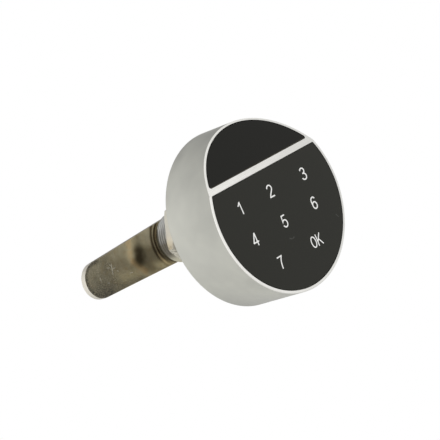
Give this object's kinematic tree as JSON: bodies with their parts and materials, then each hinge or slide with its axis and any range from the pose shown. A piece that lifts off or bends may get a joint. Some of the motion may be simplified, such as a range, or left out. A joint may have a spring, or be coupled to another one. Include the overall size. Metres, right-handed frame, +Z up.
{
  "type": "electronic cabinet lock",
  "caption": "Round touch-keypad cabinet lock: a satin metal knob with black panels on a threaded barrel with hex nut and flat swinging cam.",
  "frame": {"origin": "on the lock axis at the outside face of the door, where the gasket seats", "axes": "+Y along the barrel, away from the keypad; +Z up the keypad, towards the sloping panel; the cam points to -X when closed"},
  "size_m": [0.0798, 0.0642, 0.0646],
  "materials": {
    "satin_chrome": "satin chrome on die-cast zinc, brighter on the front rim and strip",
    "black_panel": "smooth charcoal-black panel, keypad figures in light grey",
    "circuit_board": "green solder mask",
    "led_red": "clear red lens",
    "led_green": "clear green lens",
    "ribbon_film": "amber polyimide film",
    "chip_black": "moulded black, matt",
    "white_plastic": "moulded natural white",
    "carrier_plastic": "moulded dark grey, fine texture",
    "can_aluminium": "bare drawn can",
    "cell_steel": "nickel-plated steel can",
    "contact_brass": "bright rolled strip",
    "screw_steel": "zinc-plated steel",
    "cover_steel": "turned and lightly brushed",
    "spindle_steel": "turned steel",
    "barrel_nickel": "nickel-plated thread, bluish grey",
    "nut_nickel": "bright nickel plate, warm",
    "cam_nickel": "polished nickel-plated steel, lightly stained",
    "black_rubber": "matt black rubber"
  },
  "bodies": {
    "barrel": {"barrel": "barrel_nickel", "seat_gasket": "black_rubber", "mounting_nut": "nut_nickel"},
    "knob": {"knob_shell": "satin_chrome", "keypad_lens": "black_panel", "upper_lens": "black_panel", "touch_board": "circuit_board", "indicator_board": "circuit_board", "status_led_red": "led_red", "status_led_green": "led_green", "touch_ribbon": "ribbon_film", "indicator_ribbon": "ribbon_film", "main_board": "circuit_board", "board_screw_1": "screw_steel", "board_screw_2": "screw_steel", "controller_chip": "chip_black", "ribbon_connector": "white_plastic", "lead_connector": "white_plastic", "buzzer": "chip_black", "capacitor": "can_aluminium", "battery_carrier": "carrier_plastic", "coin_cell_upper": "cell_steel", "coin_cell_lower": "cell_steel", "cell_contact_upper": "contact_brass", "cell_contact_lower": "contact_brass", "cell_strap_upper": "contact_brass", "cell_strap_lower": "contact_brass", "lock_motor": "cell_steel", "back_cover": "cover_steel", "cover_screw_1": "screw_steel", "cover_screw_2": "screw_steel", "cover_screw_3": "screw_steel", "cover_screw_4": "screw_steel", "stop_pin": "screw_steel", "spindle": "spindle_steel", "o_ring": "black_rubber", "thrust_washer": "white_plastic", "cam": "cam_nickel", "cam_washer": "nut_nickel", "cam_screw": "screw_steel"},
    "drive_screw": {"drive_screw": "contact_brass"},
    "locking_bolt": {"bolt_slider": "white_plastic", "locking_pin": "screw_steel"}
  },
  "joints": [
    {"name": "knob_turn", "type": "hinge", "parent": "barrel", "child": "knob", "pos_m": [0, 0, 0], "axis": [0, 1, 0], "range_deg": [0, 90]},
    {"name": "drive_screw_turn", "type": "hinge", "parent": "knob", "child": "drive_screw", "pos_m": [0.0205, -0.007, 0], "axis": [0, 1, 0], "range_deg": [-1080, 0]},
    {"name": "bolt_throw", "type": "slide", "parent": "knob", "child": "locking_bolt", "axis": [0, 1, 0], "range_m": [0, 0.0024]}
  ],
  "couplings": [
    {"joint": "drive_screw_turn", "follows": "bolt_throw", "rad_per_m": -7854}
  ]
}
